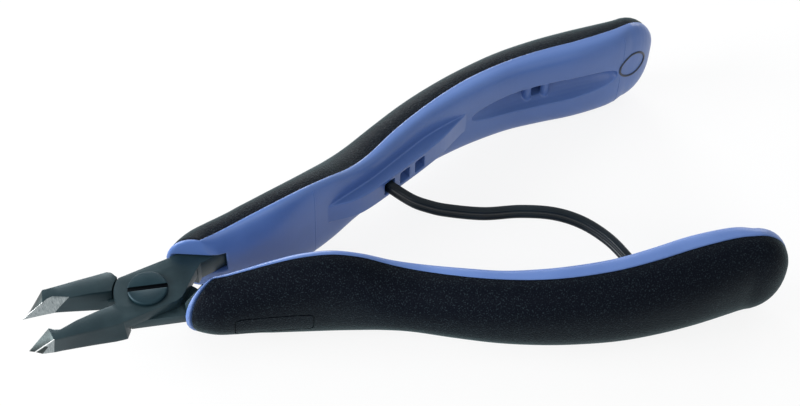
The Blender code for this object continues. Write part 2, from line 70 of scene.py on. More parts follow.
view = {  # angles in radians, places in mm, focal length in pixels of the picture
    "heading": 0.36803, "tilt": 0.88499, "roll": 0.03699, "distance": 304.916, "right": 48.715, "up": 18.289,
    "focalPixels": 1570.18, "pictureWidth": 800,
}


def placeCamera(settings):
    turn, tilt, roll = settings["heading"], settings["tilt"], settings["roll"]
    forward = Vector((math.sin(turn) * math.cos(tilt), math.cos(turn) * math.cos(tilt), -math.sin(tilt)))
    level = Vector((math.cos(turn), -math.sin(turn), 0.0))
    rise = Vector((math.sin(turn) * math.sin(tilt), math.cos(turn) * math.sin(tilt), math.cos(tilt)))
    right = math.cos(roll) * level + math.sin(roll) * rise
    up = -math.sin(roll) * level + math.cos(roll) * rise
    spot = right * settings["right"] + up * settings["up"] - forward * settings["distance"]
    spot = (spot + Vector((0.0, 0.0, midPlane))) * mm
    camera = bpy.data.cameras.new("photoCamera")
    camera.sensor_width = 36.0
    camera.lens = settings["focalPixels"] * camera.sensor_width / settings["pictureWidth"]
    camera.clip_start = 0.005
    holder = bpy.data.objects.new("photoCamera", camera)
    bpy.context.scene.collection.objects.link(holder)
    axes = Matrix((right, up, -forward)).transposed().to_4x4()
    holder.matrix_world = Matrix.Translation(spot) @ axes
    bpy.context.scene.camera = holder


light = {  # each lamp: name, power, size and place
    "lamps": (("leftLamp", 4.8, 0.3, (-0.52, 0.1, 0.22)), ("backLamp", 3.0, 0.3, (0.08, 0.62, 0.17)),
              ("rightLamp", 0.8, 0.25, (0.52, 0.4, 0.2)), ("frontLamp", 0.5, 0.3, (0.0, -0.4, 0.4)),
              ("noseLamp", 1.3, 0.25, (-0.52, -0.24, 0.08))),
    "glossCard": ("leftCard", 2.6, 0.3, (-0.55, 0.2, 0.09)), "roomLevel": 0.48, "floorWhite": 0.86,
}


def areaLight(name, power, size, spot, target=(0.05, 0.0, 0.0)):
    lamp = bpy.data.lights.new(name, "AREA")
    lamp.energy = power
    lamp.size = size
    holder = bpy.data.objects.new(name, lamp)
    bpy.context.scene.collection.objects.link(holder)
    holder.location = spot
    holder.rotation_euler = (Vector(target) - Vector(spot)).to_track_quat("-Z", "Y").to_euler()
    return holder


def seenDirectly(tree):
    path = tree.nodes.new("ShaderNodeLightPath")
    result = path.outputs["Is Camera Ray"]
    for label in ("Is Glossy Ray", "Is Transmission Ray"):
        most = tree.nodes.new("ShaderNodeMath")
        most.operation = "MAXIMUM"
        tree.links.new(result, most.inputs[0])
        tree.links.new(path.outputs[label], most.inputs[1])
        result = most.outputs[0]
    return result


def makeRoom(settings):
    world = bpy.data.worlds.new("paleRoom")
    bpy.context.scene.world = world
    world.use_nodes = True
    tree = world.node_tree
    nodes, links = tree.nodes, tree.links
    nodes.clear()
    out = nodes.new("ShaderNodeOutputWorld")
    mix = nodes.new("ShaderNodeMixShader")
    lit = nodes.new("ShaderNodeBackground")
    lit.inputs["Color"].default_value = (0.94, 0.97, 1.0, 1.0)
    lit.inputs["Strength"].default_value = settings["roomLevel"]
    seen = nodes.new("ShaderNodeBackground")
    seen.inputs["Color"].default_value = (1.0, 1.0, 1.0, 1.0)
    links.new(seenDirectly(tree), mix.inputs[0])
    links.new(lit.outputs[0], mix.inputs[1])
    links.new(seen.outputs[0], mix.inputs[2])
    links.new(mix.outputs[0], out.inputs["Surface"])
    for name, power, size, spot in settings["lamps"]:
        areaLight(name, power, size, spot)
    card = areaLight(*settings["glossCard"])  # shows in gloss only
    card.visible_diffuse = False


def makeFloor(height, settings):
    bm = bmesh.new()
    bmesh.ops.create_grid(bm, x_segments=1, y_segments=1, size=4.0)
    mesh = bpy.data.meshes.new("paleFloor")
    bm.to_mesh(mesh)
    bm.free()
    floor = bpy.data.objects.new("paleFloor", mesh)
    bpy.context.scene.collection.objects.link(floor)
    floor.location.z = height
    material = bpy.data.materials.new("paleFloor")
    material.use_nodes = True
    tree = material.node_tree
    shader = tree.nodes["Principled BSDF"]
    shader.inputs["Base Color"].default_value = (0.9, 0.9, 0.9, 1.0)
    shader.inputs["Roughness"].default_value = 1.0
    shader.inputs["Specular IOR Level"].default_value = 0.0
    glow = tree.nodes.new("ShaderNodeEmission")
    share = tree.nodes.new("ShaderNodeMath")
    share.operation = "MULTIPLY"
    share.inputs[1].default_value = settings["floorWhite"]
    mix = tree.nodes.new("ShaderNodeMixShader")
    tree.links.new(seenDirectly(tree), share.inputs[0])
    tree.links.new(share.outputs[0], mix.inputs[0])
    tree.links.new(shader.outputs[0], mix.inputs[1])
    tree.links.new(glow.outputs[0], mix.inputs[2])
    tree.links.new(mix.outputs[0], tree.nodes["Material Output"].inputs["Surface"])
    mesh.materials.append(material)


placeCamera(view)
makeRoom(light)
makeFloor(cadBox[0][2] - 0.0001, light)
bpy.context.scene.view_settings.view_transform = "Standard"
print("camera, room and floor ready")


# Surface effects shared by several materials

def startGroup(name, sockets, results):
    group = bpy.data.node_groups.new(name, "ShaderNodeTree")
    for label, kind, value in sockets:
        group.interface.new_socket(label, in_out="INPUT", socket_type=kind).default_value = value
    for label, kind in results:
        group.interface.new_socket(label, in_out="OUTPUT", socket_type=kind)
    return group, group.nodes.new("NodeGroupInput"), group.nodes.new("NodeGroupOutput")


def calculate(tree, operation, first, second=0.0):
    node = tree.nodes.new("ShaderNodeMath")
    node.operation = operation
    for socket, value in zip(node.inputs, (first, second)):
        if isinstance(value, (int, float)):
            socket.default_value = value
        else:
            tree.links.new(value, socket)
    return node.outputs[0]


def spread(tree, source, low, high, bottom=0.0, top=1.0):
    node = tree.nodes.new("ShaderNodeMapRange")
    tree.links.new(source, node.inputs["Value"])
    for label, value in (("From Min", low), ("From Max", high), ("To Min", bottom), ("To Max", top)):
        node.inputs[label].default_value = value
    return node.outputs["Result"]


def noise(tree, scale, detail=2.0, rough=0.5, vector=None):
    node = tree.nodes.new("ShaderNodeTexNoise")
    node.inputs["Detail"].default_value = detail
    node.inputs["Roughness"].default_value = rough
    if isinstance(scale, (int, float)):
        node.inputs["Scale"].default_value = scale
    else:
        tree.links.new(scale, node.inputs["Scale"])
    if vector is not None:
        tree.links.new(vector, node.inputs["Vector"])
    return node.outputs["Fac"]


def makePebble():
    group, given, result = startGroup(
        "pebbleGrain",
        (("Scale", "NodeSocketFloat", 2600.0), ("Fleck", "NodeSocketFloat", 0.5)),
        (("Height", "NodeSocketFloat"), ("Flecks", "NodeSocketFloat")),
    )
    where = group.nodes.new("ShaderNodeTexCoord").outputs["Object"]
    cells = group.nodes.new("ShaderNodeTexVoronoi")
    cells.feature = "SMOOTH_F1"
    cells.inputs["Smoothness"].default_value = 0.6
    group.links.new(where, cells.inputs["Vector"])
    group.links.new(given.outputs["Scale"], cells.inputs["Scale"])
    fine = noise(group, calculate(group, "MULTIPLY", given.outputs["Scale"], 1.7), 3.0, 0.6, where)
    bumps = calculate(group, "SUBTRACT", 1.0, cells.outputs["Distance"])
    height = calculate(group, "ADD", bumps, calculate(group, "MULTIPLY", fine, 0.5))
    group.links.new(height, result.inputs["Height"])
    dots = noise(group, calculate(group, "MULTIPLY", given.outputs["Scale"], 1.15), 1.0, 0.4, where)
    bright = spread(group, dots, 0.56, 0.76)
    group.links.new(calculate(group, "MULTIPLY", bright, given.outputs["Fleck"]), result.inputs["Flecks"])
    return group


def makeMottle():
    group, given, result = startGroup(
        "mottle",
        (("Light", "NodeSocketColor", (0.5, 0.5, 0.5, 1.0)),
         ("Dark", "NodeSocketColor", (0.4, 0.4, 0.4, 1.0)),
         ("Scale", "NodeSocketFloat", 60.0),
         ("Smooth", "NodeSocketFloat", 0.35),
         ("Rough", "NodeSocketFloat", 0.45)),
        (("Color", "NodeSocketColor"), ("Roughness", "NodeSocketFloat"), ("Height", "NodeSocketFloat")),
    )
    where = group.nodes.new("ShaderNodeTexCoord").outputs["Object"]
    clouds = noise(group, given.outputs["Scale"], 4.0, 0.55, where)
    patch = spread(group, clouds, 0.35, 0.68)
    mix = group.nodes.new("ShaderNodeMix")
    mix.data_type = "RGBA"
    group.links.new(patch, mix.inputs[0])
    group.links.new(given.outputs["Dark"], mix.inputs[6])
    group.links.new(given.outputs["Light"], mix.inputs[7])
    group.links.new(mix.outputs[2], result.inputs["Color"])
    fine = noise(group, calculate(group, "MULTIPLY", given.outputs["Scale"], 28.0), 3.0, 0.6, where)
    broadShare = calculate(group, "MULTIPLY", patch, 0.6)
    fineShare = calculate(group, "MULTIPLY", fine, 0.4)
    share = calculate(group, "ADD", broadShare, fineShare)
    gap = calculate(group, "SUBTRACT", given.outputs["Rough"], given.outputs["Smooth"])
    roughness = calculate(group, "ADD", given.outputs["Smooth"], calculate(group, "MULTIPLY", gap, share))
    group.links.new(roughness, result.inputs["Roughness"])
    group.links.new(fine, result.inputs["Height"])
    return group


def makeGrindLines():
    group, given, result = startGroup(
        "grindLines",
        (("Scale", "NodeSocketFloat", 400.0), ("Along", "NodeSocketVector", (1.0, 12.0, 12.0))),
        (("Height", "NodeSocketFloat"), ("Streak", "NodeSocketFloat")),
    )
    where = group.nodes.new("ShaderNodeTexCoord").outputs["Object"]
    stretch = group.nodes.new("ShaderNodeVectorMath")
    stretch.operation = "MULTIPLY"
    group.links.new(where, stretch.inputs[0])
    group.links.new(given.outputs["Along"], stretch.inputs[1])
    lines = noise(group, given.outputs["Scale"], 4.0, 0.7, stretch.outputs[0])
    group.links.new(lines, result.inputs["Height"])
    group.links.new(spread(group, lines, 0.3, 0.7), result.inputs["Streak"])
    return group


pebbleGrain = makePebble()
mottle = makeMottle()
grindLines = makeGrindLines()


def startMaterial(name):
    material = bpy.data.materials.new(name)
    material.use_nodes = True
    return material, material.node_tree, material.node_tree.nodes["Principled BSDF"]


def useGroup(tree, group, **values):
    node = tree.nodes.new("ShaderNodeGroup")
    node.node_tree = group
    for label, value in values.items():
        node.inputs[label].default_value = value
    return node


def bump(tree, shader, height, distance, strength=1.0):
    node = tree.nodes.new("ShaderNodeBump")
    node.inputs["Distance"].default_value = distance
    node.inputs["Strength"].default_value = strength
    tree.links.new(height, node.inputs["Height"])
    tree.links.new(node.outputs["Normal"], shader.inputs["Normal"])


def mixColors(tree, factor, first, second):
    node = tree.nodes.new("ShaderNodeMix")
    node.data_type = "RGBA"
    for socket, value in ((node.inputs[0], factor), (node.inputs[6], first), (node.inputs[7], second)):
        if isinstance(value, (tuple, float)):
            socket.default_value = value
        else:
            tree.links.new(value, socket)
    return node.outputs[2]


steelLook = {"light": (0.023, 0.046, 0.055, 1.0), "dark": (0.010, 0.025, 0.032, 1.0), "metal": 0.35,
             "smooth": 0.3, "rough": 0.46, "specular": 0.3}
screwLook = {"light": (0.012, 0.034, 0.044, 1.0), "dark": (0.005, 0.018, 0.026, 1.0), "metal": 0.3,
             "smooth": 0.42, "rough": 0.56, "specular": 0.16}
# painted shade: the slot's walls and floor take this near-black copy of the screw steel, standing in for the
# shade down in the slot
slotShadeLook = {"light": (0.003, 0.005, 0.007, 1.0), "dark": (0.001, 0.002, 0.003, 1.0), "metal": 0.0,
            "smooth": 0.6, "rough": 0.8, "specular": 0.05}


def blackSteel(name, look):
    material, tree, shader = startMaterial(name)
    base = useGroup(tree, mottle, Light=look["light"], Dark=look["dark"], Scale=90.0, Smooth=look["smooth"],
                    Rough=look["rough"])
    tree.links.new(base.outputs["Color"], shader.inputs["Base Color"])
    tree.links.new(base.outputs["Roughness"], shader.inputs["Roughness"])
    shader.inputs["Metallic"].default_value = look["metal"]
    shader.inputs["Specular IOR Level"].default_value = look["specular"]
    bump(tree, shader, base.outputs["Height"], 0.00002, 0.6)
    return material


insideLook = {"dark": (0.14, 0.17, 0.18, 1.0), "light": (0.42, 0.47, 0.48, 1.0),
              "smooth": 0.26, "rough": 0.38}
# painted shade: the forward-facing facets get this much darker copy of the same ground steel
facetShadeLook = {"dark": (0.025, 0.034, 0.035, 1.0), "light": (0.053, 0.065, 0.067, 1.0),
             "smooth": 0.42, "rough": 0.52}
keenLook = {"dark": (0.76, 0.79, 0.79, 1.0), "light": (0.93, 0.95, 0.95, 1.0),
            "smooth": 0.22, "rough": 0.3}


def groundSteel(name, look):
    material, tree, shader = startMaterial(name)
    lines = useGroup(tree, grindLines, Scale=500.0, Along=(10.0, 1.5, 1.5))
    color = mixColors(tree, lines.outputs["Streak"], look["dark"], look["light"])
    tree.links.new(color, shader.inputs["Base Color"])
    shader.inputs["Metallic"].default_value = 1.0
    roughness = spread(tree, lines.outputs["Streak"], 0.0, 1.0, look["smooth"], look["rough"])
    tree.links.new(roughness, shader.inputs["Roughness"])
    bump(tree, shader, lines.outputs["Height"], 0.00003, 0.5)
    return material


plasticLook = {"light": (0.098, 0.180, 0.430, 1.0), "dark": (0.076, 0.146, 0.370, 1.0)}
# painted shade: a dark blue for the mould ring, standing in for the shade in a groove
ringShadeLook = {"light": (0.014, 0.028, 0.060, 1.0), "dark": (0.008, 0.016, 0.036, 1.0)}


def bluePlastic(name, look):
    material, tree, shader = startMaterial(name)
    base = useGroup(tree, mottle, Light=look["light"], Dark=look["dark"], Scale=45.0, Smooth=0.34, Rough=0.46)
    tree.links.new(base.outputs["Color"], shader.inputs["Base Color"])
    tree.links.new(base.outputs["Roughness"], shader.inputs["Roughness"])
    shader.inputs["Specular IOR Level"].default_value = 0.32
    shader.inputs["Coat Weight"].default_value = 0.15
    shader.inputs["Coat Roughness"].default_value = 0.22
    bump(tree, shader, base.outputs["Height"], 0.00002, 0.5)
    return material


gripLook = {"deep": (0.0012, 0.0022, 0.0055, 1.0), "fleck": (0.030, 0.045, 0.055, 1.0), "grainScale": 3300.0}


def softBlack():
    material, tree, shader = startMaterial("softBlack")
    grain = useGroup(tree, pebbleGrain, Scale=gripLook["grainScale"], Fleck=0.55)
    color = mixColors(tree, grain.outputs["Flecks"], gripLook["deep"], gripLook["fleck"])
    tree.links.new(color, shader.inputs["Base Color"])
    shader.inputs["Roughness"].default_value = 0.5
    shader.inputs["Specular IOR Level"].default_value = 0.04
    shader.inputs["Sheen Weight"].default_value = 0.12
    shader.inputs["Sheen Roughness"].default_value = 0.35
    shader.inputs["Sheen Tint"].default_value = (0.5, 0.95, 1.0, 1.0)
    bump(tree, shader, grain.outputs["Height"], 0.00012, 0.55)
    return material


springLook = {"light": (0.005, 0.011, 0.016, 1.0), "dark": (0.002, 0.005, 0.008, 1.0)}


def springPlastic():
    material, tree, shader = startMaterial("springPlastic")
    base = useGroup(tree, mottle, Light=springLook["light"], Dark=springLook["dark"], Scale=110.0,
                    Smooth=0.28, Rough=0.42)
    tree.links.new(base.outputs["Color"], shader.inputs["Base Color"])
    tree.links.new(base.outputs["Roughness"], shader.inputs["Roughness"])
    shader.inputs["Specular IOR Level"].default_value = 0.15
    bump(tree, shader, base.outputs["Height"], 0.00002, 0.4)
    return material


darkSteel = blackSteel("blackSteel", steelLook)
screwSteel = blackSteel("screwSteel", screwLook)
slotShadeSteel = blackSteel("slotShadeSteel", slotShadeLook)
insideSteel = groundSteel("insideSteel", insideLook)
shadedFacetSteel = groundSteel("shadedFacetSteel", facetShadeLook)
keenSteel = groundSteel("keenSteel", keenLook)
coreBlue = bluePlastic("bluePlastic", plasticLook)
ringShadeBlue = bluePlastic("ringShadeBlue", ringShadeLook)
gripBlack = softBlack()
springDark = springPlastic()
print("materials ready")


# Mesh helpers, all in millimetres about the middle of the joint

def meshObject(name, bm):
    bmesh.ops.recalc_face_normals(bm, faces=bm.faces[:])
    mesh = bpy.data.meshes.new(name)
    bm.to_mesh(mesh)
    bm.free()
    item = bpy.data.objects.new(name, mesh)
    bpy.context.scene.collection.objects.link(item)
    return item


def loft(name, rings):
    bm = bmesh.new()
    rows = [[bm.verts.new(Vector(point) * mm) for point in ring] for ring in rings]
    for row, following in zip(rows, rows[1:]):
        for i in range(len(row)):
            j = (i + 1) % len(row)
            bm.faces.new((row[i], row[j], following[j], following[i]))
    bm.faces.new(rows[0][::-1])
    bm.faces.new(rows[-1])
    return meshObject(name, bm)


def prism(name, points, bottom, top):
    bm = bmesh.new()
    face = bm.faces.new([bm.verts.new(Vector((x, y, bottom)) * mm) for x, y in points])
    grown = bmesh.ops.extrude_face_region(bm, geom=[face])["geom"]
    raised = [one for one in grown if isinstance(one, bmesh.types.BMVert)]
    bmesh.ops.translate(bm, vec=(0.0, 0.0, (top - bottom) * mm), verts=raised)
    return meshObject(name, bm)


def roundBar(name, radius, bottom, top, centre=(0.0, 0.0), segments=64):
    bm = bmesh.new()
    bmesh.ops.create_cone(bm, cap_ends=True, segments=segments, radius1=radius * mm, radius2=radius * mm,
                          depth=(top - bottom) * mm,
                          matrix=Matrix.Translation(Vector((*centre, (top + bottom) / 2)) * mm))
    return meshObject(name, bm)


def block(name, size, centre, turn=0.0):
    bm = bmesh.new()
    placing = Matrix.Translation(Vector(centre) * mm) @ Matrix.Rotation(turn, 4, "Z")
    bmesh.ops.create_cube(bm, size=1.0, matrix=placing @ Matrix.Diagonal((*(Vector(size) * mm), 1.0)))
    return meshObject(name, bm)


def boolean(item, tool, operation):
    modifier = item.modifiers.new(tool.name, "BOOLEAN")
    modifier.object = tool
    modifier.operation = operation
    modifier.solver = "EXACT"


def bakeShape(item):
    bpy.context.view_layer.update()
    shaped = bpy.data.meshes.new_from_object(item.evaluated_get(bpy.context.evaluated_depsgraph_get()))
    tools = {modifier.object for modifier in item.modifiers if modifier.type == "BOOLEAN"}
    item.modifiers.clear()
    item.data = shaped
    for tool in tools:
        bpy.data.objects.remove(tool, do_unlink=True)


def soften(item, voxel, passes, kept):
    remesh = item.modifiers.new("even", "REMESH")
    remesh.mode = "VOXEL"
    remesh.voxel_size = voxel * mm
    smooth = item.modifiers.new("soften", "SMOOTH")
    smooth.factor = 0.5
    smooth.iterations = passes
    thin = item.modifiers.new("thin", "DECIMATE")
    thin.ratio = kept
    bakeShape(item)


def settle(item, material, turn=0.0):
    item.data.transform(Matrix.Translation((0.0, 0.0, midPlane * mm)) @ Matrix.Rotation(turn, 4, "Z"))
    item.data.materials.clear()
    for one in material if isinstance(material, list) else [material]:
        item.data.materials.append(one)
    item.data.shade_smooth()


def smoothRows(values, steps):  # a smooth curve through every row
    rows = []
    for i in range(len(values) - 1):
        around = [values[max(i - 1, 0)], values[i], values[i + 1], values[min(i + 2, len(values) - 1)]]
        for step in range(steps):
            t = step / steps
            rows.append([0.5 * (2 * b + (c - a) * t + (2 * a - 5 * b + 4 * c - d) * t ** 2
                                + (3 * b - a - 3 * c + d) * t ** 3) for a, b, c, d in zip(*around)])
    rows.append(list(values[-1]))
    return rows


def arc(radius, start, end, count):
    angles = [math.radians(start + (end - start) * i / (count - 1)) for i in range(count)]
    return [(radius * math.cos(angle), radius * math.sin(angle)) for angle in angles]


# Forged halves and screw

forging = {
    "lap": 2.4, "gap": 0.06, "boss": 6.6, "shoulder": 0.35, "bore": 2.25,
    "bossArc": (181.5, 127.0), "backArc": (183.5, 216.0), "freeArc": (188.5, 216.0),  # degrees
    "tip": 24.8, "nose": 20.1, "noseWidth": 3.05, "tipWidth": 0.8, "tipBack": 1.1,
    "relief": 1.25, "throat": 0.25, "edge": 0.03, "setback": 1.0,
    "closingOffset": 0.5, "closingStart": 1.4, "bevel": 0.1, "keen": 0.15, "levels": 9,
    "groundInside": (-16.7, 0.72), "groundOutside": (-20.25, 0.12),  # reach along x, slant with height
    "facetReach": -19.0, "facetSlope": 0.3, "facetTurn": 0.75, "flankTurn": 0.25,
    "beforeBevel": 0.04, "afterBevel": 0.001,  # points nearer than this are joined
    "outerEdge": ((-7.0, -4.9), (-8.0, -4.82), (-9.2, -4.7), (-13.4, -4.1), (-17.6, -3.45), (-19.8, -3.11),
                  (-19.95, -3.08)),
    "freeOuterEdge": ((-6.65, -5.35), (-7.5, -5.65), (-9.2, -5.3), (-13.4, -4.45), (-17.6, -3.55),
                      (-19.8, -3.11), (-19.95, -3.08)),
    "outerFoot": ((-6.9, -5.6), (-8.0, -5.42), (-9.2, -5.2), (-13.4, -4.1), (-18.6, -2.85), (-20.5, -2.45),
                  (-22.6, -1.8)),
    "lapFoot": ((6.4, 5.35), (7.6, 5.2), (12.0, 3.6), (11.0, 0.95), (7.32, -2.46), (6.2, -3.6), (5.2, -4.45),
                (4.0, -4.85), (-7.9, -4.9)),
    "tang": ((6.9, 5.5), (6.7, 4.4), (7.9, 3.1), (10.5, 0.35), (11.6, 1.35), (17.5, 2.0), (32.0, 2.8),
             (33.0, 3.5), (33.0, 4.9), (32.0, 5.7), (18.0, 5.8)),
}


def closingLine(spec, x):
    past = -x - spec["boss"] - spec["closingStart"]
    return spec["closingOffset"] * max(past / (spec["tip"] - spec["boss"]), 0.0)


def jawShape(name, spec, side):
    inner = -spec["edge"]
    throat, shoulder = inner - spec["throat"], spec["boss"] + spec["shoulder"]
    relief, nose, tip = spec["relief"], spec["nose"], spec["tip"]
    root, topArc, outer = throat, spec["backArc"], spec["outerEdge"]
    if side == near:
        root, topArc, outer = -spec["setback"], spec["freeArc"], spec["freeOuterEdge"]
    top = [
        (-nose, inner), (-nose + 0.9, inner - 0.65 * relief), (-nose + 1.9, inner - relief),
        (-nose + 3.0, inner - 0.85 * relief), (-14.8, inner - 0.48 * relief), (-10.3, root), (-7.6, root),
        *arc(shoulder, *topArc, 9), *outer, (-nose, -spec["noseWidth"]),
    ]
    bottom = [
        (-tip, inner), (-tip + 2.2, inner - 0.24 * relief), (-tip + 4.3, inner - 0.46 * relief),
        (-tip + 6.6, inner - 0.66 * relief), (-14.8, inner - 0.48 * relief), (-10.3, throat), (-7.6, throat),
        *arc(shoulder, *spec["backArc"], 9), *spec["outerFoot"], (-tip + spec["tipBack"], -spec["tipWidth"]),
    ]
    rings = []
    for level in range(spec["levels"]):
        share = level / (spec["levels"] - 1)
        ring = []
        for (x0, y0), (x1, y1) in zip(bottom, top):
            x = x0 + share * (x1 - x0)
            y = y0 + share * (y1 - y0)
            ring.append((x, y + side * closingLine(spec, x), spec["lap"] * (2 * share - 1)))
        rings.append(ring)
    return loft(name, rings)


def weld(mesh, distance):
    bm = bmesh.new()
    bm.from_mesh(mesh)
    bmesh.ops.remove_doubles(bm, verts=bm.verts[:], dist=distance * mm)
    bmesh.ops.dissolve_degenerate(bm, edges=bm.edges[:], dist=distance * mm)
    bm.to_mesh(mesh)
    bm.free()


def splitAt(mesh, spec):  # an edge where each ground area ends, so that its border is straight
    bm = bmesh.new()
    bm.from_mesh(mesh)
    for reach, slant in (spec["groundInside"], spec["groundOutside"]):
        whole = bm.verts[:] + bm.edges[:] + bm.faces[:]
        bmesh.ops.bisect_plane(bm, geom=whole, plane_co=(reach * mm, 0.0, 0.0), plane_no=(1.0, 0.0, -slant))
    bm.to_mesh(mesh)
    bm.free()


def markKeenEdges(mesh, spec, side):
    lines = []
    inner = ((-spec["nose"], -spec["edge"]), (-spec["tip"], -spec["edge"]))
    outer = ((-spec["nose"], -spec["noseWidth"]), (spec["tipBack"] - spec["tip"], -spec["tipWidth"]))
    for (x0, y0), (x1, y1) in (inner, outer):
        lines.append([Vector((x, side * y + closingLine(spec, x), z))
                      for x, y, z in ((x0, y0, spec["lap"]), (x1, y1, -spec["lap"]))])
    closeBy = 0.03
    weight = mesh.attributes.new("bevel_weight_edge", "FLOAT", "EDGE")
    for edge in mesh.edges:
        ends = [mesh.vertices[i].co / mm for i in edge.vertices]
        for line in lines:
            if all((end - intersect_point_line(end, *line)[0]).length < closeBy for end in ends):
                weight.data[edge.index].value = 1.0


def groundIndex(face, spec, side):  # 0 black, 1 ground flank, 2 ground facet with painted shade (a darker copy of the ground steel), 3 keen edge
    x, height = face.center.x / mm, face.center.z / mm
    across = side * face.normal.y
    turn = spec["flankTurn"]
    borders = (spec["groundInside"], spec["groundOutside"])
    inside, outside = (reach + slant * height for reach, slant in borders)
    if face.material_index == 3:
        return 3
    # painted shade: faces that point forward take the darker copy of the ground steel
    if x < spec["facetReach"] and face.normal.x < -spec["facetSlope"] and abs(across) < spec["facetTurn"]:
        return 2
    return 1 if x < inside and across > turn or x < outside and across < -turn else 0


def forgedHalf(name, node, side):
    spec = forging
    flip = Matrix.Diagonal((1.0, side, side, 1.0))
    start = (-7.9, -spec["edge"] - spec["throat"])
    lapOutline = [start, *arc(spec["boss"], *spec["bossArc"], 40), *spec["lapFoot"]]
    half = prism(name, lapOutline, spec["gap"], spec["lap"])
    half.data.transform(flip)
    jaw = jawShape(name + "Jaw", spec, side)
    jaw.data.transform(Matrix.Diagonal((1.0, side, 1.0, 1.0)))
    if side == near:
        jaw.data.flip_normals()
    tang = prism(name + "Tang", spec["tang"], -spec["lap"], spec["lap"])
    tang.data.transform(flip)
    boolean(half, jaw, "UNION")
    boolean(half, tang, "UNION")
    boolean(half, roundBar(name + "Bore", spec["bore"], -4.0, 4.0), "DIFFERENCE")
    bakeShape(half)
    weld(half.data, spec["beforeBevel"])
    splitAt(half.data, spec)
    markKeenEdges(half.data, spec, side)
    finishes = [darkSteel, insideSteel, shadedFacetSteel, keenSteel]
    half.data.materials.clear()
    for finish in finishes:
        half.data.materials.append(finish)
    keen = half.modifiers.new("keen", "BEVEL")
    keen.width = spec["keen"] * mm
    keen.segments = 1
    keen.limit_method = "WEIGHT"
    keen.material = 3
    bevel = half.modifiers.new("bevel", "BEVEL")
    bevel.width = spec["bevel"] * mm
    bevel.segments = 2
    bevel.limit_method = "ANGLE"
    bevel.angle_limit = math.radians(32.0)
    bakeShape(half)
    weld(half.data, spec["afterBevel"])
    ground = [groundIndex(face, spec, side) for face in half.data.polygons]
    settle(half, finishes, openAngle * side)
    for face, index in zip(half.data.polygons, ground):
        face.material_index = index
    half.data.set_sharp_from_angle(angle=math.radians(32.0))
    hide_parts(node)
    return half


screw = {
    "head": 3.9, "seat": 2.52, "height": 0.75, "chamfer": 0.22, "shank": 2.2, "bottom": -2.4, "bevel": 0.05,
    "slotLength": 12.0, "slotWidth": 1.0, "slotDepth": 0.6, "slotTurn": math.radians(-9.5),
    "shadeWider": 0.02, "shadeLower": 0.06,  # where the slot's painted shade starts at its sides and rim
}


def pivotScrew(spec):
    top = spec["seat"] + spec["height"]
    profile = ((0.0, top), (spec["head"] - spec["chamfer"], top), (spec["head"], top - spec["chamfer"]),
               (spec["head"], spec["seat"]), (spec["shank"], spec["seat"]), (spec["shank"], spec["bottom"]),
               (0.0, spec["bottom"]))
    bm = bmesh.new()
    points = [bm.verts.new((x * mm, 0.0, z * mm)) for x, z in profile]
    edges = [bm.edges.new(pair) for pair in zip(points, points[1:])]
    bmesh.ops.spin(bm, geom=points + edges, cent=(0, 0, 0), axis=(0, 0, 1), angle=math.tau, steps=96,
                   use_merge=True)
    bmesh.ops.remove_doubles(bm, verts=bm.verts[:], dist=1e-7)
    item = meshObject("slottedScrew", bm)
    slotSize = (spec["slotLength"], spec["slotWidth"], 2 * spec["slotDepth"])
    boolean(item, block("screwSlot", slotSize, (0.0, 0.0, top), spec["slotTurn"]), "DIFFERENCE")
    bevel = item.modifiers.new("bevel", "BEVEL")
    bevel.width = spec["bevel"] * mm
    bevel.segments = 2
    bevel.limit_method = "ANGLE"
    bevel.angle_limit = math.radians(40.0)
    bakeShape(item)
    settle(item, [screwSteel, slotShadeSteel])
    line = Vector((-math.sin(spec["slotTurn"]), math.cos(spec["slotTurn"]), 0.0))
    # painted shade: faces down in the slot get the near-black slot material
    for face in item.data.polygons:
        inSlot = abs(face.center.dot(line)) < (spec["slotWidth"] / 2 + spec["shadeWider"]) * mm
        below = face.center.z < (midPlane + top - spec["shadeLower"]) * mm
        face.material_index = 1 if inSlot and below and face.center.z > (midPlane + spec["seat"]) * mm else 0
    item.data.set_sharp_from_angle(angle=math.radians(30.0))
    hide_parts("pivot_screw")
    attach(item, "near_handle")
    return item


upperHalf = forgedHalf("upperHalf", "near_jaw_half", far)
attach(upperHalf, "far_handle")
lowerHalf = forgedHalf("lowerHalf", "far_jaw_half", near)
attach(lowerHalf, "near_handle")
pivotScrew(screw)
print("forged halves and screw made")


# Handles. Each station has x and y of the parting line, half height, outward depth, inward depth,
# fullness of the inner half, and forward lean in degrees

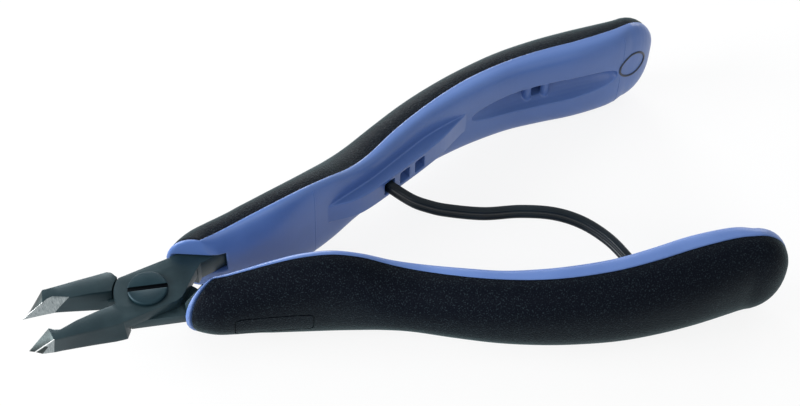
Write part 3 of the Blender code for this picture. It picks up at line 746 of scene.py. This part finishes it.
handle = {
    "stations": (
        (11.55, 4.83, 7.4, 6.83, 2.0, 2.2, 65.6), (13.9, 5.2, 7.5, 6.68, 2.1, 2.2, 36.0),
        (16.0, 5.5, 7.85, 6.45, 2.2, 2.2, 24.0), (19.0, 5.9, 8.45, 6.3, 2.35, 2.2, 14.0),
        (22.5, 6.42, 9.2, 6.4, 2.5, 2.35, 0.0), (28.5, 7.4, 10.2, 6.65, 2.5, 2.8, 0.0),
        (34.5, 8.8, 10.5, 6.85, 2.1, 3.4, 0.0), (40.0, 10.65, 9.6, 7.3, 1.8, 3.8, 0.0),
        (45.0, 12.85, 8.0, 7.7, 2.0, 4.0, 0.0), (50.0, 15.5, 7.35, 7.5, 2.5, 4.2, 0.0),
        (57.0, 19.65, 7.85, 6.85, 3.0, 4.5, 0.0), (64.0, 23.15, 8.3, 6.65, 3.1, 4.8, 0.0),
        (71.0, 25.95, 8.8, 6.4, 3.6, 5.0, 0.0), (78.0, 27.95, 9.35, 6.35, 3.9, 5.0, 0.0),
        (86.0, 29.25, 9.8, 6.85, 4.0, 5.0, 0.0), (94.0, 29.65, 10.2, 7.3, 4.3, 5.0, 0.0),
        (102.0, 29.55, 10.5, 7.6, 4.4, 5.0, 0.0), (110.0, 29.95, 10.75, 6.7, 4.2, 4.4, 0.0),
        (114.0, 30.65, 10.7, 5.8, 3.9, 3.2, 0.0),
    ),
    "steps": 6, "dish": 0.3, "capLength": 8.1, "capFullness": 2.1,
    "capSteps": (0.15, 0.3, 0.44, 0.56, 0.67, 0.76, 0.84, 0.9, 0.95, 0.98, 1.0),
    "outerFullness": 2.4, "noseFullness": 2.0, "innerFullness": 2.2,
    "voxel": 0.14, "passes": 5, "kept": 0.45,
    "rimRings": ((-0.66, 0.88), (-0.55, 0.93), (-0.3, 0.975), (0.0, 1.0), (0.5, 1.0), (1.15, 1.0)),
    "rimEnd": 1.35, "gripStart": ((1.6, 0.35), (1.7, 0.15), (1.85, 0.04)),
    "capThin": 0.16, "spineRun": 0.75,  # least scale at the very end, and where the spine stops in the cap
    "leastDepth": 0.12, "lipSteps": ((-0.08, 0.03), (0.0, 0.15)),  # outward place, and drop below full height
    "shell": 1.9, "spineLower": 2.0, "spineShares": (0.6, 0.4), "leastSpine": 0.1,
    "gripBack": 0.02, "gripLower": 0.2, "gripThin": 0.4,
    "hollowBack": -0.2, "hollowOut": 0.16, "hollowUp": 0.08,
    "hollowShift": 0.07,  # keeps the rings of the hollow out of the planes of the grip's own rings
    "mouth": ((0.0, -8.0), (17.1, -8.0), (17.1, 1.7), (33.3, 2.5), (33.3, 6.0), (18.0, 6.1), (0.0, 5.65)),
    "mouthHalf": 2.7,  # the socket that takes the tang
}


def handleFrames(spec):
    rows = smoothRows(spec["stations"], spec["steps"])
    frames = []
    for i, (x, y, height, out, inn, fullness, lean) in enumerate(rows):
        x0, y0 = rows[max(i - 1, 0)][:2]
        x1, y1 = rows[min(i + 1, len(rows) - 1)][:2]
        front = max(lean, 0.0) / spec["stations"][0][6]
        frames.append({
            "x": x, "y": y, "height": height, "out": out, "inn": inn, "fullness": fullness,
            "scale": 1.0, "spine": 1.0,
            "outer": spec["outerFullness"] - (spec["outerFullness"] - spec["noseFullness"]) * front,
            "tilt": max(math.atan2(y1 - y0, x1 - x0), math.radians(lean)),
        })
    last = frames[-1]
    for share in spec["capSteps"]:
        cap = dict(last)
        cap["x"] += spec["capLength"] * share * math.cos(last["tilt"])
        cap["y"] += spec["capLength"] * share * math.sin(last["tilt"])
        roundness = (1.0 - share ** spec["capFullness"]) ** (1.0 / spec["capFullness"])
        cap["scale"] = max(roundness, spec["capThin"])
        cap["spine"] = max(1.0 - (share / spec["spineRun"]) ** 4, 0.0)
        frames.append(cap)
    return frames


def frameAt(frames, index, scale=1.0):
    start = min(max(math.floor(index), 0), len(frames) - 2)
    first, second = frames[start], frames[start + 1]
    mixed = {key: value + (index - start) * (second[key] - value) for key, value in first.items()}
    mixed["scale"] *= scale
    return mixed


def rounded(value, power):
    return math.copysign(abs(value) ** (2.0 / power), value)


def place(one, out, height, side):
    out *= one["scale"]
    x = one["x"] - math.sin(one["tilt"]) * out
    y = one["y"] + math.cos(one["tilt"]) * out
    return (x, side * y, height * one["scale"])


def halfSection(one, side, start, reach, height, fullness, first, last, count):
    points = []
    for i in range(count):
        angle = math.radians(first + (last - first) * i / (count - 1))
        out = start + reach * rounded(math.cos(angle), fullness)
        points.append(place(one, out, height * rounded(math.sin(angle), fullness), side))
    return points


def dishDepth(one, most):  # grows with the fullness of the section
    return most * (one["fullness"] - handle["innerFullness"]) / handle["innerFullness"]


def innerSection(one, side, count=37):
    dish = dishDepth(one, handle["dish"])
    points = []
    for i in range(1, count - 1):
        angle = math.pi * (0.5 + i / (count - 1))
        height = one["height"] * rounded(math.sin(angle), one["fullness"])
        hollow = dish * math.cos(math.pi / 2 * height / one["height"]) ** 2
        out = one["inn"] * rounded(math.cos(angle), one["fullness"]) + hollow
        points.append(place(one, min(out, -handle["leastDepth"]), height, side))
    return points


def spineReach(one):
    return max((one["out"] - handle["shell"]) * one["spine"], handle["leastSpine"])


def spineHeight(one):
    fixed, fading = handle["spineShares"]
    return (one["height"] - handle["spineLower"]) * (fixed + fading * one["spine"])


def coreSection(one, side, stepped):
    rim = [(out, one["height"] - drop) for out, drop in handle["lipSteps"]]
    lip = [place(one, out, height, side) for out, height in rim]
    sole = [place(one, out, -height, side) for out, height in rim]
    if stepped:
        outer = halfSection(one, side, -0.1, spineReach(one), spineHeight(one), one["outer"], -90.0, 90.0, 17)
    else:
        outer = halfSection(one, side, 0.1, one["out"] - 0.1, one["height"], one["outer"], -88.0, 88.0, 17)
    return [lip[1], lip[0], *innerSection(one, side), sole[0], sole[1], *outer]


springSeat = {
    "slotCount": 3, "pitch": 4.4, "slotLength": 2.75, "slotHalf": 1.75, "slotDepth": 2.8,
    "start": (53.6, 11.7), "slope": math.atan2(5.8, 12.1), "ridgeHalf": 2.6, "ridgeRoot": 1.2,
    "crest": ((37.0, 8.8), (41.0, 8.5), (44.5, 8.5), (48.0, 9.3), (53.6, 11.7), (65.7, 17.5), (72.0, 21.6),
              (81.5, 28.2)),
    "recessX": 93.2, "recessLength": 35.5, "recessHalf": 3.3, "recessDepth": 3.0, "raise": 1.9,
    "recessShift": 0.9, "recessLean": 0.22, "leanFrom": 1.4, "seatDish": 1.4, "bluntness": (2.0, 2.7),
    "recessRings": 25, "recessPoints": 32, "recessEnd": 0.992,
    "postRadius": 1.0, "postSpacing": 4.2, "postDepth": 1.3, "postHalf": 3.4,
    "pocketDepth": 4.8, "pocketHalf": 2.1, "pocketInset": 0.4,
}


def seatFace(frames, x):  # the depth that the posts, the bead and the recess are set from
    for one, following in zip(frames, frames[1:]):
        if one["x"] <= x <= following["x"]:
            share = (x - one["x"]) / (following["x"] - one["x"])
            start, end = (f["y"] - f["inn"] + dishDepth(f, springSeat["seatDish"]) for f in (one, following))
            return start + share * (end - start)
    return frames[-1]["y"]


def recessTool(name, frames, spec, side):
    rings = []
    for i in range(spec["recessRings"]):
        share = -spec["recessEnd"] * math.cos(math.pi * i / (spec["recessRings"] - 1))
        x = spec["recessX"] + spec["recessShift"] + share * spec["recessLength"] / 2
        power = spec["bluntness"][0 if share < 0.0 else 1]
        swell = (1.0 - abs(share) ** power) ** (1.0 / power)
        ring = []
        for j in range(spec["recessPoints"]):
            angle = math.tau * j / spec["recessPoints"]
            depth = (spec["recessDepth"] + spec["raise"]) * swell * math.cos(angle) - spec["raise"]
            lean = spec["recessLean"] * (depth + spec["leanFrom"])
            height = spec["recessHalf"] * swell * math.sin(angle) + lean
            ring.append((x, side * (seatFace(frames, x) + depth), height))
        rings.append(ring)
    return loft(name, rings)


def handleCore(name, node, side):
    frames = handleFrames(handle)
    rings = [coreSection(frameAt(frames, index, scale), side, False) for index, scale in handle["rimRings"]]
    rings += [coreSection(frameAt(frames, handle["rimEnd"]), side, True)]
    rings += [coreSection(one, side, True) for one in frames[2:]]
    core = loft(name, rings)
    spec = springSeat
    crest = [(x, side * y) for x, y in smoothRows(spec["crest"], 5)]
    back = [(x, side * (max(y, seatFace(frames, x)) + spec["ridgeRoot"])) for x, y in reversed(spec["crest"])]
    boolean(core, prism(name + "Ridge", crest + back, -spec["ridgeHalf"], spec["ridgeHalf"]), "UNION")
    boolean(core, recessTool(name + "Recess", frames, spec, side), "DIFFERENCE")
    face = seatFace(frames, spec["recessX"])
    pocketSize = (spec["postSpacing"] - spec["pocketInset"], spec["pocketDepth"], 2 * spec["pocketHalf"])
    pocketCentre = (spec["recessX"], side * (face + spec["pocketDepth"] / 2), 0.0)
    boolean(core, block(name + "Pocket", pocketSize, pocketCentre), "DIFFERENCE")
    for end in (-1, 1):
        centre = (spec["recessX"] + end * spec["postSpacing"] / 2, side * (face + spec["postDepth"]))
        half = spec["postHalf"]
        boolean(core, roundBar(f"{name}Post{end}", spec["postRadius"], -half, half, centre, 32), "UNION")
    slotSize = (spec["slotLength"], 2 * spec["slotDepth"], 2 * spec["slotHalf"])
    for i in range(spec["slotCount"]):
        x = spec["start"][0] + i * spec["pitch"] * math.cos(spec["slope"])
        y = spec["start"][1] + i * spec["pitch"] * math.sin(spec["slope"])
        slot = block(f"{name}Slot{i}", slotSize, (x, side * y, 0.0), side * spec["slope"])
        boolean(core, slot, "DIFFERENCE")
    socket = prism(name + "Socket", handle["mouth"], -handle["mouthHalf"], handle["mouthHalf"])
    socket.data.transform(Matrix.Diagonal((1.0, side, 1.0, 1.0)) @ Matrix.Rotation(openAngle, 4, "Z"))
    if side == near:
        socket.data.flip_normals()
    boolean(core, socket, "DIFFERENCE")
    bakeShape(core)
    soften(core, handle["voxel"], handle["passes"], handle["kept"])
    settle(core, coreBlue)
    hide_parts(node)
    return core


panel = {
    "x": 22.5, "length": 15.5, "thickness": 6.0, "height": 5.6, "depth": 0.24, "line": 0.28, "corner": 1.2,
    "drop": 2.0, "tilt": math.radians(3.0), "slopeFrom": -1.75, "slopeTo": 3.0,
}


def gripRings(frames, side, inset):
    starts = [(frameAt(frames, index), extra) for index, extra in handle["gripStart"]]
    back = handle["gripBack"]
    rings = []
    for one, extra in (*starts, *((one, 0.0) for one in frames[2:])):
        reach = max(one["out"] - back - inset - extra, handle["gripThin"])
        height = one["height"] - handle["gripLower"] - inset - extra
        rings.append(halfSection(one, side, back, reach, height, one["outer"], -90.0, 90.0, 49))
    return rings


def panelSlab(frames, side, less):
    steps = (0.0, panel["slopeFrom"], panel["slopeTo"])
    one, before, after = (min(frames, key=lambda f: abs(f["x"] - panel["x"] - step)) for step in steps)
    slope = math.atan2(after["y"] + after["out"] - before["y"] - before["out"], after["x"] - before["x"])
    bm = bmesh.new()
    bmesh.ops.create_cube(bm, size=1.0)
    size = Vector((panel["length"] - less, panel["thickness"] + less, panel["height"] - less))
    bmesh.ops.scale(bm, vec=size * mm, verts=bm.verts[:])
    corners = [edge for edge in bm.edges if abs(edge.verts[0].co.y - edge.verts[1].co.y) > 0.0001]
    bmesh.ops.bevel(bm, geom=corners, offset=(panel["corner"] - less / 2) * mm, segments=6, profile=0.5,
                     affect="EDGES")
    centre = Vector(place(one, one["out"], -panel["drop"], side)) * mm
    turned = Matrix.Translation(centre) @ Matrix.Rotation(side * slope, 4, "Z")
    bmesh.ops.transform(bm, matrix=turned @ Matrix.Rotation(panel["tilt"], 4, "Y"), verts=bm.verts[:])
    return meshObject("panelSlab", bm)


def panelGroove(frames, side):  # follows the surface of the grip at one depth
    groove = panelSlab(frames, side, 0.0)
    boolean(groove, panelSlab(frames, side, 2 * panel["line"]), "DIFFERENCE")
    boolean(groove, loft("panelLimit", gripRings(frames, side, panel["depth"])), "DIFFERENCE")
    bakeShape(groove)
    return groove


def softGrip(name, node, side):
    frames = handleFrames(handle)
    grip = loft(name, gripRings(frames, side, 0.0))
    hollow = []
    spined = [one for one in frames[2:] if one["spine"] > 0.05]
    back, shift = handle["hollowBack"], handle["hollowShift"]
    for one in (frameAt(frames, 0.5), frameAt(frames, handle["rimEnd"]), *spined):
        x, y = one["x"] + shift * math.cos(one["tilt"]), one["y"] + shift * math.sin(one["tilt"])
        one = dict(one, x=x, y=y)
        reach, height = spineReach(one) + handle["hollowOut"], spineHeight(one) + handle["hollowUp"]
        hollow.append(halfSection(one, side, back, reach, height, one["outer"], -90.0, 90.0, 17))
    if side == near:
        boolean(grip, panelGroove(frames, side), "DIFFERENCE")
    boolean(grip, loft(name + "Hollow", hollow), "DIFFERENCE")
    bakeShape(grip)
    settle(grip, gripBlack)
    grip.data.set_sharp_from_angle(angle=math.radians(38.0))
    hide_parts(node)
    return grip


# Thin moulding lines that stand on the inner face of a core; the ring's dark blue is painted shade, so that
# the raised ring reads as a shaded groove

mouldLines = {
    "ringX": 114.9, "ringHeight": 1.3, "ringRadius": 3.3, "ringRod": 0.3, "ringSunk": 0.05,
    "witnesses": (("witness_front", 35.6), ("witness_rear", 112.0)),
    "witnessRod": 0.1, "witnessSunk": 0.02, "witnessShort": 0.6,
}


def innerPoint(frames, x, height, side, proud):
    index = next(i for i, one in enumerate(frames) if frames[i + 1]["x"] > x)
    one = frameAt(frames, index + (x - frames[index]["x"]) / (frames[index + 1]["x"] - frames[index]["x"]))
    share = min(abs(height) / one["height"], 1.0)
    hollow = dishDepth(one, handle["dish"]) * math.cos(math.pi / 2 * share) ** 2
    depth = one["inn"] * (1.0 - share ** one["fullness"]) ** (1.0 / one["fullness"]) - hollow
    return place(one, -depth - proud, height, side)


def thinRod(name, points, radius, closed=False):
    curve = bpy.data.curves.new(name, "CURVE")
    curve.dimensions = "3D"
    curve.bevel_depth = radius * mm
    curve.bevel_resolution = 2
    curve.use_fill_caps = not closed
    line = curve.splines.new("POLY")
    line.points.add(len(points) - 1)
    for target, point in zip(line.points, points):
        target.co = (*(Vector(point) * mm), 1.0)
    line.use_cyclic_u = closed
    route = bpy.data.objects.new(name + "Route", curve)
    bpy.context.scene.collection.objects.link(route)
    bpy.context.view_layer.update()
    mesh = bpy.data.meshes.new_from_object(route.evaluated_get(bpy.context.evaluated_depsgraph_get()))
    bpy.data.objects.remove(route, do_unlink=True)
    item = bpy.data.objects.new(name, mesh)
    bpy.context.scene.collection.objects.link(item)
    return item


def addMouldLines(spec):
    frames = handleFrames(handle)
    ring = []
    for i in range(48):
        turn = math.tau * i / 48
        x = spec["ringX"] + spec["ringRadius"] * math.cos(turn)
        height = spec["ringHeight"] + spec["ringRadius"] * math.sin(turn)
        ring.append(innerPoint(frames, x, height, far, -spec["ringSunk"]))
    # painted shade: the ring takes the dark blue, the witness lines the core's own blue
    pieces = [(thinRod("mouldRing", ring, spec["ringRod"], True), ringShadeBlue)]
    for name, x in spec["witnesses"]:
        height = next(one["height"] for one in frames if one["x"] > x) - spec["witnessShort"]
        points = [innerPoint(frames, x, height * (1 - i / 15), far, -spec["witnessSunk"]) for i in range(31)]
        pieces.append((thinRod(name, points, spec["witnessRod"]), coreBlue))
    for piece, material in pieces:
        settle(piece, material)
        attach(piece, "far_handle")


farCore = handleCore("farCore", "far_handle_core", far)
nearCore = handleCore("nearCore", "near_handle_core", near)
print("handle cores made")
farGrip = softGrip("farGrip", "far_grip", far)
nearGrip = softGrip("nearGrip", "near_grip", near)
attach(farCore, "far_handle")
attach(farGrip, "far_handle")
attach(nearCore, "near_handle")
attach(nearGrip, "near_handle")
print("grips made")
addMouldLines(mouldLines)


# Return spring

spring = {
    "thickness": 1.6, "half": 1.45, "groove": 0.22, "footDepth": 0.3,
    "bends": ((56.6, 6.9), (59.4, 4.2), (62.7, 2.0), (69.4, -1.1), (76.7, -2.9), (83.0, -5.6), (87.6, -9.6),
              (90.8, -15.0), (92.4, -20.5)),
    "beadRadius": 1.3, "beadDepth": 3.05, "beadRise": 1.2,
    "heelThickness": 1.5, "heelLess": 0.6, "heelLower": 0.56, "heelShift": 0.75,
}


def springStrip(spec, seat):
    frames = handleFrames(handle)
    across = Vector((math.sin(seat["slope"]), -math.cos(seat["slope"])))
    mouth = Vector(seat["start"])
    foot = mouth - across * (seat["slotDepth"] - spec["footDepth"])
    face = seatFace(frames, seat["recessX"])
    bead = Vector((seat["recessX"], -(face + spec["beadDepth"])))
    rise = (seat["recessX"], -face + spec["beadRise"])
    path = smoothRows([tuple(foot), tuple(mouth), *spec["bends"], rise, tuple(bead)], 10)
    half, top, groove = spec["thickness"] / 2, spec["half"], spec["groove"]
    quarter = [(half - groove, 0.0), (half - groove, 0.28), (half - 0.4 * groove, 0.42), (half, 0.58),
               (half, top - 0.42), (half - 0.08, top - 0.18), (half - 0.22, top - 0.05), (half - 0.42, top)]
    right = [(a, -z) for a, z in reversed(quarter[1:])] + quarter
    section = right + [(-a, -z) for a, z in right]
    rings = []
    for i, (x, y) in enumerate(path):
        along = (Vector(path[min(i + 1, len(path) - 1)]) - Vector(path[max(i - 1, 0)])).normalized()
        rings.append([(x - along.y * a, y + along.x * a, z) for a, z in section])
    strip = loft("springStrip", rings)
    beadTop = top + 0.02
    boolean(strip, roundBar("springBead", spec["beadRadius"], -beadTop, beadTop, tuple(bead), 48), "UNION")
    heel = foot + across * spec["heelShift"]
    heelLength, heelHeight = seat["slotLength"] - spec["heelLess"], 2 * seat["slotHalf"] - spec["heelLower"]
    heelSize = (heelLength, spec["heelThickness"], heelHeight)
    boolean(strip, block("springHeel", heelSize, (heel.x, heel.y, 0.0), seat["slope"]), "UNION")
    bakeShape(strip)
    settle(strip, springDark)
    strip.data.set_sharp_from_angle(angle=math.radians(40.0))
    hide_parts("return_spring")
    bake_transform(strip)
    return strip


springStrip(spring, springSeat)
print("spring made")
